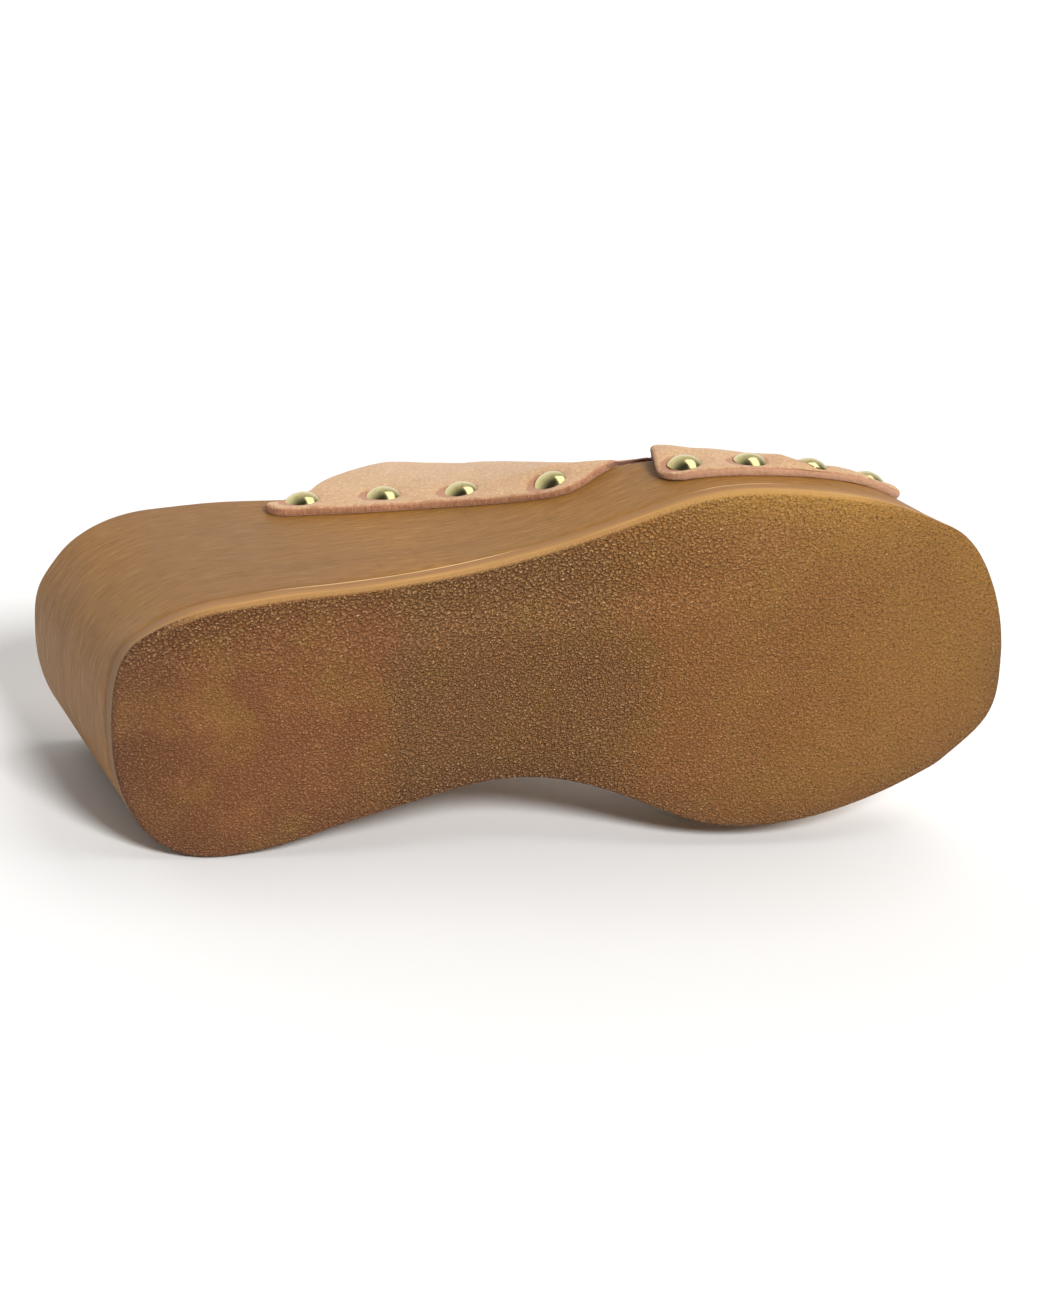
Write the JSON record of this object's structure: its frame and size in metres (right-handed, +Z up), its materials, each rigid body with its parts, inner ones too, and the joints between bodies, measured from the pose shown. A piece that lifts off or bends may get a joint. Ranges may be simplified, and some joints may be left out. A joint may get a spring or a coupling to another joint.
{
  "type": "wedge slipper",
  "caption": "Open-toe, open-back wedge mule for the right foot: wooden wedge on a pebbled rubber outsole, crossed suede straps tacked on with domed brass studs, lying on its inner side.",
  "frame": {"origin": "middle of the bounding box in X and Y, on the floor that the shoe lies on", "axes": "+X from heel to toe, +Z up from the floor, the sole faces -Y and the foot side +Y"},
  "size_m": [0.262, 0.1124, 0.1092],
  "materials": {
    "outsole": "fine pebbled grain, amber edge",
    "wedge": "stained, satin",
    "insole": "smooth tan",
    "upper": "peach suede with a raw cut edge",
    "studs": "polished, slightly aged"
  },
  "bodies": {
    "root": {"outsole": "outsole", "wedge_body": "wedge", "insole": "insole", "upper": "upper", "stud_outer_rear_1": "studs", "stud_outer_rear_2": "studs", "stud_outer_rear_3": "studs", "stud_outer_rear_4": "studs", "stud_outer_front_1": "studs", "stud_outer_front_2": "studs", "stud_outer_front_3": "studs", "stud_outer_front_4": "studs", "stud_inner_rear_1": "studs", "stud_inner_rear_2": "studs", "stud_inner_rear_3": "studs", "stud_inner_rear_4": "studs", "stud_inner_front_1": "studs", "stud_inner_front_2": "studs", "stud_inner_front_3": "studs", "stud_inner_front_4": "studs"}
  },
  "joints": []
}
